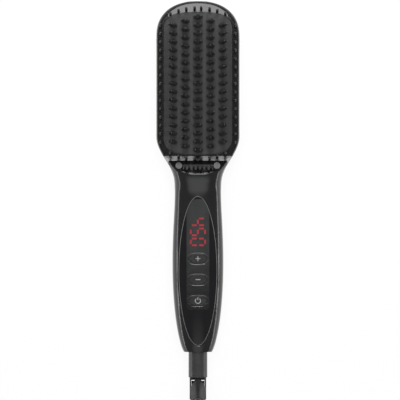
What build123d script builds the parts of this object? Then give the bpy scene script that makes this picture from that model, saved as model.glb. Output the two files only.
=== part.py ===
from build123d import *
import os
from math import asin, cos, degrees, radians, sin

# Heated hair straightening brush, in millimetres. The brush lies on its flat back:
# +Z points the way the bristles point, +Y runs from the handle to the tip of the head,
# and the origin lies on the flat back, below the centre of the heating plate.
# Lengths called "from the tip" are measured along the brush from the tip of the head.

# ---- body, seen from the front ----
BODY_LENGTH = 269.0
HEAD_WIDTH = 63.8
TIP_LENGTH = 27.0          # length of the rounded end of the head
TIP_FULLNESS = 2.3         # 2 is an ellipse, more is squarer
SIDE_END = 104.0           # from the tip, where the straight sides of the head stop
SHOULDER_WIDTH = 49.6
SHOULDER_FROM_TIP = 122.0
SHOULDER_FOOT_WIDTH = 38.6
SHOULDER_FOOT_FROM_TIP = 132.6
NECK_WIDTH = 35.4
NECK_FROM_TIP = 146.5
FINGER_WIDTH = 37.4
FINGER_FROM_TIP = 171.0
GRIP_WIDTH = 39.1
GRIP_FROM_TIP = 201.8
PALM_WIDTH = 37.5
PALM_FROM_TIP = 226.3
TAPER_WIDTH = 31.9
TAPER_FROM_TIP = 250.9
END_WIDTH = 21.6
END_CAP = 11.0             # the handle's outline would close this far past its end

# ---- body, seen from the side ----
REAR_DEPTH = 13.5          # flat back to parting plane
BACK_CROWN = 0.35          # how far the back's curve would pass below its flat
BACK_FULLNESS = 2.6        # cross-section's shape, as for the tip
NECK_FULLNESS = 2.15
RIDGE_FULLNESS = 3.0
FRONT_FULLNESS = 2.3
TIP_ROUND = 14.0           # how far the back's rounding runs in at the tip
END_DROP = 5.0             # how much shallower the back is at the handle's end
RIDGE_HEIGHT = 15.8        # heights above the parting plane
RIDGE_FROM_TIP = 132.5
RIDGE_ROUND = 1.8
NECK_HEIGHT = 11.7
NECK_DIP_FROM_TIP = 149.0
GRIP_HEIGHT = 13.4
END_HEIGHT = 9.3

# ---- shells ----
REAR_WALL = 2.0
FRONT_WALL = 2.4
END_WALL = 3.0
SEAM = 0.1                 # gap between the rear cover and what closes it
FRAME_HEIGHT = 4.3         # face of the guard frame above the parting plane
FRAME_WEB = 2.0
FRAME_RIM = 1.6            # how far the frame's face is drawn in from its foot
BROW_FROM_TIP = 12.0       # where the frame's face starts to fall towards the tip
BROW_FALL = 0.17           # fall of that face over its run
BROW_DRAW = [0.0, 1.2, 3.2, 5.0]    # how much further the rim is drawn in at the tip, foot to face
BROW_WALL = 2.5            # extra wall inside the tip
SPLIT_FROM_TIP = 124.0     # joint between guard frame and front cover, on the axis
SPLIT_BOW = 6.5
LEDGE_FROM_TIP = 118.9     # where the frame's face starts to rise behind the heating plate
LEDGE_RISE = 0.2           # rise of that face over its run
SLOPE_FOOT_FROM_TIP = 122.4
TONGUE_X = 28.2            # outer faces of the frame's locating tongues
TONGUE_Y = [-38.0, -13.0, 13.0, 38.0]
TONGUE_LENGTH = 8.0
TONGUE_THICKNESS = 1.1
TONGUE_DEPTH = 4.0
GROOVE_WIDTH = 0.7
GROOVE_DEPTH = 0.45
GROOVE_PITCH = 5.35
GROOVE_START = 6.3         # from the tip, on the axis
GROOVE_START_BOW = 0.23    # shift of the next grooves, times the square of their number
GROOVE_END = 47.7
GROOVE_END_BOW = 1.63

# ---- heating plate and its stack ----
PLATE_FROM_TIP = 63.4      # centre of the plate
PLATE_LENGTH = 108.6
PLATE_WIDTH = 50.6
PLATE_CORNER = 11.5
PLATE_END_BOW = 3.0
PLATE_EDGE_HEIGHT = 4.75   # above the parting plane, over the flange's edge
PLATE_CROWN_HEIGHT = 7.3
FLANGE_OUT = 1.4
FLANGE_THICKNESS = 1.2
GASKET_WIDTH = 0.8
GASKET_PROUD = 0.1
HEATER_THICKNESS = 2.4
HEATER_WIDTH = 14.0
HEATER_LENGTH = 90.0
HEATER_GAP = 4.0           # between the two strips
HEATER_POCKET = 1.6        # how far the strips rise into the plate
POCKET_MARGIN = 2.0
CLAMP_THICKNESS = 1.0
SHEET_THICKNESS = 1.0
CARRIER_BASE = 2.0
CARRIER_RIM = 2.0
LEAD_CHANNEL_WIDTH = 16.0
SENSOR_DIAMETER = 2.4
THERMISTOR_Y = 0.0
THERMISTOR_LENGTH = 6.0
FUSE_Y = -25.0
FUSE_LENGTH = 12.0

# ---- teeth, caps and guard bristles ----
TOOTH_PITCH = 6.38
TOOTH_COLUMNS = [
    # across, lens length, prong's distance from the middle, rows, first row from the tip
    (0.0, 8.6, 2.0, 17, 12.4),
    (9.5, 7.6, 1.3, 16, 15.7),
    (18.4, 6.4, 1.0, 15, 18.8),
]
TOOTH_THICKNESS = 4.4
TOOTH_HEIGHT = 21.2        # heights square to the plate's arched top
TOOTH_BODY_HEIGHT = 13.7
TOOTH_SHRINK = 0.6         # size of a tooth's top against its foot
PRONG_DIAMETER = 1.7
PRONG_ROOT = 4.0           # how far the prongs run down into the body
FIN_SHARE = 0.45           # size of the metal fin inside a cap
FIN_HEIGHT = 5.8
GUARD_DIAMETER = 2.0
GUARD_TIP_HEIGHT = 25.5
GUARD_ROOT = 0.9
GUARD_SIDE_X = 28.4
GUARD_SIDE_ROWS = 15
GUARD_SIDE_FIRST = 19.2
GUARD_END_X = [2.5, 8.9, 14.8, 21.0]
GUARD_END_MARGIN = 3.3     # middle pair's distance from the plate's end
GUARD_END_BOW = 0.0100     # how the end rows follow the round of the head

# ---- vent and ion ports ----
VENT_WIDTH = 23.2
VENT_LENGTH = 6.8
VENT_FROM_TIP = 127.1
VENT_CORNER = 1.0
VENT_SLOTS = 7
VENT_SLOT = 1.7
VENT_PITCH = 3.3
VENT_BAR = 0.9             # bars above and below the slots
VENT_THICKNESS = 1.6       # of the lip that holds the grille behind the wall
VENT_LIP = 0.8
VENT_RECESS = 1.0
VENT_PLAY = 0.05
PORT_DIAMETER = 5.1
PORT_X = 14.6
PORT_FROM_TIP = 126.2
PORT_RECESS = 0.8
PORT_RIM = 0.4
PORT_PLAY = 0.05
PORT_WALL = 0.8            # of the socket behind each port
PORT_SOCKET = 5.0          # depth of that socket
EMITTER_DEPTH = 7.5        # foot of the emitter below the slope
NEEDLE_DIAMETER = 0.9

# ---- control panel ----
PANEL_LENGTH = 114.7
PANEL_WIDTH = 29.8
PANEL_FROM_TIP = 206.9
PANEL_THICKNESS = 1.2
PANEL_GAP = 0.08
PANEL_SUNK = 0.15
PANEL_EDGE = 0.45          # rounding of the panel's edge and of the lip round it
WINDOW_WIDTH = 17.4
WINDOW_START = 152.0
WINDOW_END = 236.3
WINDOW_MARGIN = 0.9        # rim of the panel left round the window's upper end
WINDOW_CORNER = 2.0
WINDOW_LEDGE = 0.7
OPENING_START = 163.0      # opening in the cover below the window
OPENING_END = 236.3
DISH_LENGTH = 25.6         # the ellipsoid that hollows a dish: its length across the brush,
DISH_WIDTH = 11.0          # its width along the brush,
DISH_HALF_HEIGHT = 2.9     # half its height,
DISH_RISE = 1.0            # and how far its middle lies above the surface
CAP_LENGTH = 13.4
CAP_WIDTH = 7.4
CAP_GAP = 0.25
CAP_SUNK = 0.7
CAP_EDGE = 0.3
CAP_FLANGE = 0.7
CAP_FLANGE_THICKNESS = 0.8
CAP_FLANGE_SINK = 3.3      # flange's top below the surface on the axis
BUTTON_FROM_TIP = [197.4, 213.4, 229.6]
BUTTON_TRAVEL = 0.6
STEM_DIAMETER = 3.0
STEM_PLAY = 0.15
DIGITS = ["bcfg", "acdfg", "abcdef"]
DIGIT_FROM_TIP = 169.3
DIGIT_PITCH = 7.65
DIGIT_HEIGHT = 12.4
DIGIT_WIDTH = 6.6
SEGMENT_WIDTH = 1.5
SEGMENT_GAP = 0.12

# ---- electronics in the handle ----
BOARD_TOP = 4.0            # above the parting plane
BOARD_THICKNESS = 1.6
BOARD_WIDTH = 22.0
BOARD_START = 165.0
BOARD_END = 237.0
SWITCH_SIZE = 6.0
SWITCH_HEIGHT = 2.7
PLUNGER_HEIGHT = 0.7
PLUNGER_DIAMETER = 3.2
DISPLAY_WIDTH = 13.0
DISPLAY_LENGTH = 23.4
DISPLAY_HEIGHT = 4.8
POST_X = 8.8
POST_INSET = 5.0
POST_DIAMETER = 5.0
BOARD_SCREW = 2.0
BOARD_SCREW_BITE = 6.0
HANDLE_SCREW = 3.0
HANDLE_SCREW_FROM_TIP = [159.0, 243.2]
HANDLE_SCREW_BITE = 8.0
SEAT_SINK = 2.2            # seat of a handle screw's head below the panel
BOSS_DIAMETER = 6.4
CARRIER_SCREW = 2.5
CARRIER_SCREW_X = 20.6
CARRIER_SCREW_Y = 40.0
CARRIER_SCREW_BITE = 5.0
SCREW_HEAD_RATIO = 1.8
SCREW_PLAY = 0.1
ION_LENGTH = 19.0
ION_WIDTH = 18.0
ION_HEIGHT = 8.0
ION_START = 134.0
ION_SEAT = 4.5             # underside of the module above the flat back
RIB_THICKNESS = 1.6
LEAD_DIAMETER = 1.5
HEATER_LEAD_X = [6.0, 6.6]           # at the heater strips, and at the board
HEATER_LEAD_BENDS = [126.0, 146.0]   # from the tip
HEATER_LEAD_RADIUS = 20.0
HEATER_LEAD_LIFT = 0.3               # into the plate's pocket
MAINS_LEAD_X = [4.5, 7.4]            # at the contact springs, and at the board
MAINS_LEAD_DEPTH = [7.0, 5.4]        # below the parting plane
MAINS_LEAD_BENDS = [246.0, 242.4, 240.0]
MAINS_LEAD_RADII = [1.5, 1.8, 2.0]
ION_LEAD_OUT = 3.2                   # straight run behind an emitter
ION_LEAD_SPAN = 3.4                  # bow beside the module
ION_LEAD_IN = 5.0                    # where it enters, from the module's corner
ION_LEAD_RADII = [2.0, 1.5]
POWER_PARTS = [
    # half width, start and end from the tip, height below the board
    (5.0, 182.0, 186.0, 9.0),        # triac
    (6.5, 199.0, 206.0, 8.0),        # film capacitor
    (4.0, 214.0, 222.0, 7.0),        # terminal block
]

# ---- cord swivel ----
COLLAR_DIAMETER = 14.4
COLLAR_START_GAP = 0.2
COLLAR_END_FROM_TIP = 288.6
JOURNAL_DIAMETER = 11.0
JOURNAL_GAP = 0.05
FLANGE_DIAMETER = 13.4
SWIVEL_FLANGE_THICKNESS = 2.2
SPIGOT_DIAMETER = 6.4
SPIGOT_START = 248.0
SWIVEL_BORE = 4.4
RING_DIAMETER = 8.0
RING_WIDTH = 2.6
RING_FROM_TIP = [251.6, 257.6]
CONTACT_GAP = 0.3
CONTACT_THICKNESS = 0.4
CONTACT_LENGTH = 11.0
BLOCK_WIDTH = 12.0
BLOCK_LENGTH = 12.5
FORK_WIDTH = 12.7
FORK_SLOT = 10.1
FORK_REAR = -2.8           # depths of the fork, from the swivel's axis
FORK_FRONT = 5.8
FORK_FOOT_FRONT = 3.0
FORK_SLANT_FROM_TIP = 291.0
FORK_END_FROM_TIP = 306.0
FORK_ROUND = 2.0
FORK_EDGE = 1.0
FORK_WEB = 1.8
WEB_END_FROM_TIP = 290.8
PIVOT_FROM_TIP = 296.5
PIVOT_OFFSET = 0.8         # towards the front
PIVOT_DIAMETER = 2.6
PIVOT_GAP = 0.05
RING_GAP = 0.02

# ---- cord boot ----
BOOT_FOLD = 75.5           # degrees from straight, folded to the front
BOOT_LENGTH = 43.8         # pivot to tip
BOOT_BASE_START = 4.8
BOOT_BASE_HEIGHT = 17.2
BOOT_ROOT_WIDTH = 9.8      # between the ears
BOOT_SHOULDER = 10.4       # from the pivot, where the boot gets wider than the fork's slot
BOOT_WIDTH = 12.4
BOOT_TIP_HEIGHT = 8.8
BOOT_TIP_WIDTH = 8.2
BOOT_NOSE = 3.0            # plain length at the tip
KNUCKLE_DIAMETER = 10.4
RIB_COUNT = 17
RIB_PITCH = 2.1
RIB_LENGTH = 1.25
RIB_DEPTH = 0.55
CORD_BORE = 5.8
CORD_BORE_DEPTH = 30.0

BIG = 400.0

os.makedirs("parts", exist_ok=True)


# ---- helpers ----

def along(from_tip):
    """Y of a place that lies this far from the tip."""
    return PLATE_FROM_TIP - from_tip


def ease(value, low, high):
    """0 below low, 1 above high, and a smooth step between."""
    share = min(max((value - low) / (high - low), 0.0), 1.0)
    return share * share * (3 - 2 * share)


def block(x0, x1, y0, y1, z0, z1):
    """A box between the given planes."""
    size = (abs(x1 - x0), abs(y1 - y0), abs(z1 - z0))
    return Pos((x0 + x1) / 2, (y0 + y1) / 2, (z0 + z1) / 2) * Box(*size)


def upright(diameter, x, y, z0, z1):
    """A cylinder that stands between two heights."""
    return Pos(x, y, (z0 + z1) / 2) * Cylinder(diameter / 2, z1 - z0)


def turned(diameter, from_tip, to_tip):
    """A cylinder on the handle's axis, between two distances from the tip."""
    middle = (from_tip + to_tip) / 2
    return Pos(0, along(middle), REAR_DEPTH) * Rot(X=90) * Cylinder(diameter / 2, to_tip - from_tip)


def prism(face, z0, z1):
    """A face drawn on the XY plane, raised between two heights."""
    return extrude(Pos(0, 0, z0) * face, z1 - z0, dir=(0, 0, 1))


def save(name, solids):
    """Writes one node, its solids kept apart."""
    solids = [s for item in solids for s in item.solids()]
    shape = solids[0] if len(solids) == 1 else Compound(children=solids)
    shape.label = name
    export_step(shape, os.path.join("parts", name + ".step"))


# ---- the body's outline and hulls ----

def smooth(points, start, end):
    """A smooth curve through the points that starts and ends in the given directions."""
    return Spline(*points, tangents=[start, end], tangent_scalars=[1, 1])


def outline_points(inset, tip_inset):
    """Half of the outline from the tip to the closing cap, as (half width, from the tip)."""
    half = HEAD_WIDTH / 2 - inset
    length = TIP_LENGTH - tip_inset
    tip = []
    for step in range(7):
        turn = radians(90 - 15 * step)
        across = half * max(cos(turn), 0.0) ** (2 / TIP_FULLNESS)
        tip.append((across, TIP_LENGTH - length * sin(turn) ** (2 / TIP_FULLNESS)))
    tip[0] = (0.0, tip_inset)
    handle = [
        (half, SIDE_END),
        (SHOULDER_WIDTH / 2 - inset, SHOULDER_FROM_TIP),
        (SHOULDER_FOOT_WIDTH / 2 - inset, SHOULDER_FOOT_FROM_TIP),
        (NECK_WIDTH / 2 - inset, NECK_FROM_TIP),
        (FINGER_WIDTH / 2 - inset, FINGER_FROM_TIP),
        (GRIP_WIDTH / 2 - inset, GRIP_FROM_TIP),
        (PALM_WIDTH / 2 - inset, PALM_FROM_TIP),
        (TAPER_WIDTH / 2 - inset, TAPER_FROM_TIP),
        (END_WIDTH / 2 - inset, BODY_LENGTH),
        (0.0, BODY_LENGTH + END_CAP - inset),
    ]
    return tip, handle


def outline(inset, height, draw=0.0):
    """The body's outline at a height, drawn in by a wall and at the tip by some more."""
    tip, handle = outline_points(inset, inset + draw)
    right_tip = [Vector(across, along(from_tip), height) for across, from_tip in tip]
    right_handle = [Vector(across, along(from_tip), height) for across, from_tip in handle]
    left_tip = [Vector(-p.X, p.Y, p.Z) for p in right_tip]
    left_handle = [Vector(-p.X, p.Y, p.Z) for p in right_handle]
    to_tip, to_end, to_left = (0, 1, 0), (0, -1, 0), (-1, 0, 0)
    edges = [
        smooth([*left_tip[::-1], *right_tip[1:]], to_tip, to_end),
        Line(right_tip[-1], right_handle[0]),
        smooth(right_handle, to_end, to_left),
        smooth(left_handle[::-1], to_left, to_tip),
        Line(left_handle[0], left_tip[-1]),
    ]
    return Wire(edges)


WIDEST = outline(0.0, REAR_DEPTH)


def half_width(from_tip):
    """Half width of the body on the parting plane, read off the outline."""
    if from_tip <= SIDE_END:
        return HEAD_WIDTH / 2
    edge = WIDEST.edges().filter_by(GeomType.BSPLINE).sort_by(Axis.X)[-1]
    low, high = 0.0, 1.0
    if (edge @ 0).Y < (edge @ 1).Y:
        low, high = 1.0, 0.0
    for _ in range(40):
        middle = (low + high) / 2
        if (edge @ middle).Y > along(from_tip):
            low = middle
        else:
            high = middle
    return (edge @ low).X


def front_height(from_tip):
    """Height of the front surface above the parting plane, on the axis."""
    ridge_end = RIDGE_FROM_TIP + 1.0
    dip = ease(from_tip, ridge_end, NECK_DIP_FROM_TIP)
    belly = ease(from_tip, NECK_DIP_FROM_TIP, GRIP_FROM_TIP)
    fall = max(from_tip - GRIP_FROM_TIP, 0.0) / (BODY_LENGTH - GRIP_FROM_TIP)
    height = RIDGE_HEIGHT + (NECK_HEIGHT - RIDGE_HEIGHT) * dip
    height += (GRIP_HEIGHT - NECK_HEIGHT) * belly
    return height - (GRIP_HEIGHT - END_HEIGHT) * fall ** 2.4


def arch(half, height, fullness, from_tip):
    """A cross-section that stands on the parting plane, or hangs from it if its height is negative."""
    points = []
    for turn in range(0, 181, 18):
        across = cos(radians(turn))
        up = max(sin(radians(turn)), 0.0)
        side = half * abs(across) ** (2 / fullness) * (1 if across > 0 else -1)
        points.append(Vector(side, along(from_tip), REAR_DEPTH + height * up ** (2 / fullness)))
    points[len(points) // 2] = Vector(0, along(from_tip), REAR_DEPTH + height)
    rise = 1 if height > 0 else -1
    curve = smooth(points, (0, 0, rise), (0, 0, -rise))
    return Wire([curve, Line(points[-1], points[0])])


def front_section(from_tip, inset):
    """Cross-section of the front of neck and handle."""
    beyond_ridge = ease(from_tip, RIDGE_FROM_TIP, NECK_DIP_FROM_TIP)
    fullness = RIDGE_FULLNESS + (FRONT_FULLNESS - RIDGE_FULLNESS) * beyond_ridge
    return arch(half_width(from_tip) - inset, front_height(from_tip) - inset, fullness, from_tip)


def rear_section(from_tip, inset):
    """Cross-section of the back, its lowest part below the flat that it is cut to."""
    half = half_width(from_tip) - inset
    depth = REAR_DEPTH + BACK_CROWN - inset
    if from_tip < TIP_LENGTH:
        share = (TIP_LENGTH - from_tip) / (TIP_LENGTH - inset)
        half = (HEAD_WIDTH / 2 - inset) * (1 - share ** TIP_FULLNESS) ** (1 / TIP_FULLNESS)
    if from_tip < TIP_ROUND:
        share = (TIP_ROUND - from_tip) / (TIP_ROUND - inset)
        depth *= (1 - share ** TIP_FULLNESS) ** (1 / TIP_FULLNESS)
    fall = max(from_tip - GRIP_FROM_TIP, 0.0) / (BODY_LENGTH - GRIP_FROM_TIP)
    depth -= END_DROP * fall ** 2.4
    neck = ease(from_tip, SIDE_END, NECK_FROM_TIP) - ease(from_tip, NECK_FROM_TIP, GRIP_FROM_TIP)
    fullness = BACK_FULLNESS + (NECK_FULLNESS - BACK_FULLNESS) * neck
    return arch(half, -depth, fullness, from_tip)


def spread(start, end, steps):
    """Even steps from start, the end itself left out."""
    return [start + (end - start) * number / steps for number in range(steps)]


def rear_hull(inset):
    """Everything behind the parting plane, drawn in by a wall, with its flat back."""
    nose = TIP_LENGTH - inset
    places = [inset + nose * (1 - cos(radians(turn))) for turn in (6, 18, 32, 47, 62, 76)]
    places += spread(TIP_LENGTH, SIDE_END, 5)
    places += spread(SIDE_END, NECK_FROM_TIP, 6)
    places += spread(NECK_FROM_TIP, GRIP_FROM_TIP, 4)
    places += spread(GRIP_FROM_TIP, BODY_LENGTH, 6)
    places.append(BODY_LENGTH)
    hull = Solid.make_loft([rear_section(place, inset) for place in places])
    return hull - block(-BIG, BIG, -BIG, BIG, -BIG, inset)


def front_hull(inset):
    """Front of neck and handle as one full body."""
    places = spread((SIDE_END + SHOULDER_FROM_TIP) / 2, RIDGE_FROM_TIP, 3)
    places += spread(RIDGE_FROM_TIP, NECK_DIP_FROM_TIP, 3)
    places += spread(NECK_DIP_FROM_TIP, GRIP_FROM_TIP, 4)
    places += spread(GRIP_FROM_TIP, BODY_LENGTH, 6)
    places.append(BODY_LENGTH)
    return Solid.make_loft([front_section(place, inset) for place in places])


def ledge_height(from_tip):
    """Height of the face that rises gently from the heating plate to the foot of the slope."""
    return REAR_DEPTH + FRAME_HEIGHT + LEDGE_RISE * max(from_tip - LEDGE_FROM_TIP, 0)


LEDGE_START = Vector(0, along(LEDGE_FROM_TIP), ledge_height(LEDGE_FROM_TIP))
SLOPE_FOOT = Vector(0, along(SLOPE_FOOT_FROM_TIP), ledge_height(SLOPE_FOOT_FROM_TIP))
SLOPE_RIDGE = Vector(0, along(RIDGE_FROM_TIP), REAR_DEPTH + RIDGE_HEIGHT)
SLOPE_RUN = (SLOPE_RIDGE - SLOPE_FOOT).normalized()
SLOPE_NORMAL = Vector(0, SLOPE_RUN.Z, -SLOPE_RUN.Y)


def slope_height(from_tip):
    """Height of the slope that rises from the ledge to the ridge."""
    return SLOPE_FOOT.Z + (along(from_tip) - SLOPE_FOOT.Y) * SLOPE_RUN.Z / SLOPE_RUN.Y


def on_ridge(edge):
    """Whether an edge is the ridge, where the slope meets the round of the neck."""
    middle = edge @ 0.5
    return abs(middle.Y - along(RIDGE_FROM_TIP)) < 0.1 and middle.Z > REAR_DEPTH + NECK_HEIGHT


def above_slope(sink):
    """All of the space on the bristle side of ledge and slope, sunk square to the slope."""
    start = LEDGE_START - SLOPE_NORMAL * sink
    foot = SLOPE_FOOT - SLOPE_NORMAL * sink
    down = start - SLOPE_RUN * BIG / 8
    up = foot + SLOPE_RUN * BIG / 8
    corners = [down, start, foot, up, Vector(0, BIG, up.Z), Vector(0, BIG, down.Z)]
    face = Face(Wire(Polyline(*corners, close=True)))
    return extrude(Pos(-BIG / 4, 0, 0) * face, BIG / 2, dir=(1, 0, 0))


# ---- heights of the layers in the head, from the flat back ----

FACE = REAR_DEPTH + FRAME_HEIGHT
FLANGE_TOP = FACE - FRAME_WEB
FLANGE_FOOT = FLANGE_TOP - FLANGE_THICKNESS
STRIP_TOP = FLANGE_FOOT + HEATER_POCKET
STRIP_FOOT = STRIP_TOP - HEATER_THICKNESS
CLAMP_FOOT = STRIP_FOOT - CLAMP_THICKNESS
SHEET_FOOT = CLAMP_FOOT - SHEET_THICKNESS
CARRIER_FOOT = SHEET_FOOT - CARRIER_BASE

REAR_OUTER = rear_hull(0.0)
REAR_INNER = rear_hull(REAR_WALL)
FRONT_OUTER = front_hull(0.0) - above_slope(0.0)
FRONT_OUTER = FRONT_OUTER.fillet(RIDGE_ROUND, FRONT_OUTER.edges().filter_by(on_ridge))
FRONT_INNER = front_hull(FRONT_WALL) - above_slope(FRONT_WALL)
INSIDE = block(-BIG, BIG, along(BODY_LENGTH - END_WALL), BIG, 0, BIG)
SEAM_SPACE = block(-BIG, BIG, -BIG, BIG, 0, REAR_DEPTH + SEAM)


def plate_outline(grow):
    """The heating plate's outline, with bowed ends and round corners."""
    half = PLATE_WIDTH / 2 + grow
    end = PLATE_LENGTH / 2 + grow
    side = end - PLATE_END_BOW
    edges = [
        Line((half, -side), (half, side)),
        ThreePointArc((half, side), (0, end), (-half, side)),
        Line((-half, side), (-half, -side)),
        ThreePointArc((-half, -side), (0, -end), (half, -side)),
    ]
    face = Face(Wire(edges))
    return face.fillet_2d(PLATE_CORNER + grow, face.vertices())


def tip_side():
    """The space on the head's side of the joint between guard frame and front cover."""
    reach = HEAD_WIDTH / 2
    side = along(SPLIT_FROM_TIP - SPLIT_BOW)
    arc = ThreePointArc((-reach, side), (0, along(SPLIT_FROM_TIP)), (reach, side))
    rest = Polyline((reach, side), (BIG, side), (BIG, BIG), (-BIG, BIG), (-BIG, side), (-reach, side))
    return prism(Face(Wire([arc] + rest.edges())), 0, BIG)


HEAD_SIDE = tip_side()


# ---- guard frame and its bristles ----

def guard_places():
    """Where the guard bristles stand: along both sides and round both ends of the plate."""
    places = []
    for row in range(GUARD_SIDE_ROWS):
        y = along(GUARD_SIDE_FIRST + row * TOOTH_PITCH)
        places += [(GUARD_SIDE_X, y), (-GUARD_SIDE_X, y)]
    for across in GUARD_END_X:
        y = PLATE_LENGTH / 2 + GUARD_END_MARGIN - GUARD_END_BOW * across ** 2
        places += [(across, y), (-across, y), (across, -y), (-across, -y)]
    return places


def face_height(from_tip):
    """Height of the guard frame's face, with its fall to the tip and its rise to the slope."""
    fall = BROW_FALL * max(BROW_FROM_TIP - from_tip, 0)
    return max(ledge_height(from_tip) - fall, slope_height(from_tip))


def above_brow():
    """The space over the part of the frame's face that falls towards the tip."""
    start = along(BROW_FROM_TIP)
    end = along(-BROW_FROM_TIP)
    foot = FACE - BROW_FALL * (end - start)
    corners = [(0, start, FACE), (0, end, foot), (0, end, 2 * FACE), (0, start, 2 * FACE)]
    side = Face(Wire(Polyline(*corners, close=True)))
    return extrude(Pos(-HEAD_WIDTH, 0, 0) * side, 2 * HEAD_WIDTH, dir=(1, 0, 0))


def guard_bristle(x, y):
    tip = REAR_DEPTH + GUARD_TIP_HEIGHT - GUARD_DIAMETER / 2
    seat = face_height(PLATE_FROM_TIP - y)
    shaft = upright(GUARD_DIAMETER, x, y, seat - GUARD_ROOT, tip)
    return shaft + Pos(x, y, tip) * Sphere(GUARD_DIAMETER / 2)


GUARD_BRISTLES = [guard_bristle(x, y) for x, y in guard_places()]


def tongues():
    """Locating tongues of the guard frame, inside the rear cover's wall."""
    inner = TONGUE_X - TONGUE_THICKNESS
    foot = REAR_DEPTH - TONGUE_DEPTH
    pieces = []
    for y in TONGUE_Y:
        ends = (y - TONGUE_LENGTH / 2, y + TONGUE_LENGTH / 2)
        pieces += [block(side * inner, side * TONGUE_X, *ends, foot, FLANGE_TOP) for side in (1, -1)]
    return pieces


def guard_frame():
    layers = [
        outline(0.0, REAR_DEPTH + SEAM, BROW_DRAW[0]),
        outline(0.19 * FRAME_RIM, REAR_DEPTH + 0.55 * FRAME_HEIGHT, BROW_DRAW[1]),
        outline(0.47 * FRAME_RIM, REAR_DEPTH + 0.87 * FRAME_HEIGHT, BROW_DRAW[2]),
        outline(FRAME_RIM, FACE, BROW_DRAW[3]),
    ]
    frame = (Solid.make_loft(layers) & HEAD_SIDE) - above_brow()
    frame += FRONT_OUTER & HEAD_SIDE
    frame -= prism(Face(outline(REAR_WALL, 0.0, BROW_WALL)), REAR_DEPTH, FLANGE_TOP) & HEAD_SIDE
    frame -= FRONT_INNER & HEAD_SIDE
    frame -= prism(plate_outline(GASKET_WIDTH), 0, BIG)
    frame -= SEAM_SPACE
    frame += tongues()
    return frame - GUARD_BRISTLES


# ---- heating plate with its fins, caps and gasket ----

CROWN = REAR_DEPTH + PLATE_CROWN_HEIGHT
CROWN_RISE = PLATE_CROWN_HEIGHT - PLATE_EDGE_HEIGHT
CROWN_RADIUS = ((PLATE_WIDTH / 2 + FLANGE_OUT) ** 2 + CROWN_RISE ** 2) / (2 * CROWN_RISE)


def below_crown():
    """Everything under the plate's arched top."""
    half = PLATE_WIDTH / 2 + FLANGE_OUT
    edge = REAR_DEPTH + PLATE_EDGE_HEIGHT
    arc = ThreePointArc((-half, 0, edge), (0, 0, CROWN), (half, 0, edge))
    rest = Polyline((half, 0, edge), (half, 0, 0), (-half, 0, 0), (-half, 0, edge))
    face = Face(Wire([arc] + rest.edges()))
    return extrude(Pos(0, BIG / 2, 0) * face, BIG, dir=(0, -1, 0))


BELOW_CROWN = below_crown()


def lens(length, thickness, z):
    """A pointed oval, long across the brush."""
    left = (-length / 2, 0, z)
    right = (length / 2, 0, z)
    over = ThreePointArc(left, (0, thickness / 2, z), right)
    under = ThreePointArc(right, (0, -thickness / 2, z), left)
    return Wire([over, under])


def tooth_fin(length):
    """The metal fin that stands on the plate and carries one cap."""
    foot = lens(FIN_SHARE * length, FIN_SHARE * TOOTH_THICKNESS, FACE)
    top_share = FIN_SHARE * (1 + TOOTH_SHRINK) / 2
    top = lens(top_share * length, top_share * TOOTH_THICKNESS, CROWN + FIN_HEIGHT)
    return Solid.make_loft([foot, top], ruled=True) - BELOW_CROWN


def tooth_cap(length, spread_out):
    """The heat-proof cap of one tooth: a pointed oval body that ends in two prongs."""
    body_top = CROWN + TOOTH_BODY_HEIGHT
    foot = lens(length, TOOTH_THICKNESS, FACE)
    top = lens(TOOTH_SHRINK * length, TOOTH_SHRINK * TOOTH_THICKNESS, body_top)
    cap = Solid.make_loft([foot, top], ruled=True)
    tip = CROWN + TOOTH_HEIGHT - PRONG_DIAMETER / 2
    for x in (spread_out, -spread_out):
        cap += upright(PRONG_DIAMETER, x, 0, body_top - PRONG_ROOT, tip)
        cap += Pos(x, 0, tip) * Sphere(PRONG_DIAMETER / 2)
    return cap - BELOW_CROWN - tooth_fin(length)


def on_crown(across):
    """The turn that carries a tooth from the middle of the plate to a column, square to its top."""
    centre = CROWN - CROWN_RADIUS
    turn = degrees(asin(across / CROWN_RADIUS))
    return Pos(0, 0, centre) * Rot(Y=turn) * Pos(0, 0, -centre)


def tooth_pieces(piece, across, rows, first):
    """One copy of a tooth's piece at every tooth of a column, and of its twin on the other side."""
    places = [on_crown(across)] if across == 0 else [on_crown(across), on_crown(-across)]
    ends = [along(first + row * TOOTH_PITCH) for row in range(rows)]
    return [Pos(0, y, 0) * place * piece for y in ends for place in places]


def tooth_fins():
    fins = []
    for x, length, _, rows, first in TOOTH_COLUMNS:
        fins += tooth_pieces(tooth_fin(length), x, rows, first)
    return fins


def tooth_caps():
    caps = []
    for x, length, spread_out, rows, first in TOOTH_COLUMNS:
        caps += tooth_pieces(tooth_cap(length, spread_out), x, rows, first)
    return caps


def heating_plate():
    plate = prism(plate_outline(0.0), FLANGE_FOOT, BIG / 4) & BELOW_CROWN
    plate += prism(plate_outline(FLANGE_OUT), FLANGE_FOOT, FLANGE_TOP)
    wide = HEATER_GAP / 2 + HEATER_WIDTH + POCKET_MARGIN
    long = HEATER_LENGTH / 2 + POCKET_MARGIN
    channel = LEAD_CHANNEL_WIDTH / 2
    plate -= block(-wide, wide, -long, long, FLANGE_FOOT, STRIP_TOP)
    return plate - block(-channel, channel, -PLATE_LENGTH, 0, FLANGE_FOOT, STRIP_TOP)


def plate_gasket():
    ring = prism(plate_outline(GASKET_WIDTH), FLANGE_TOP, FACE + GASKET_PROUD)
    return ring - prism(plate_outline(0.0), 0, BIG)


# ---- heater stack under the plate ----

def heater_strips():
    strips = []
    for side in (1, -1):
        inner = side * HEATER_GAP / 2
        outer = side * (HEATER_GAP / 2 + HEATER_WIDTH)
        ends = (-HEATER_LENGTH / 2, HEATER_LENGTH / 2)
        strips.append(block(inner, outer, *ends, STRIP_FOOT, STRIP_TOP))
    return strips


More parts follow.
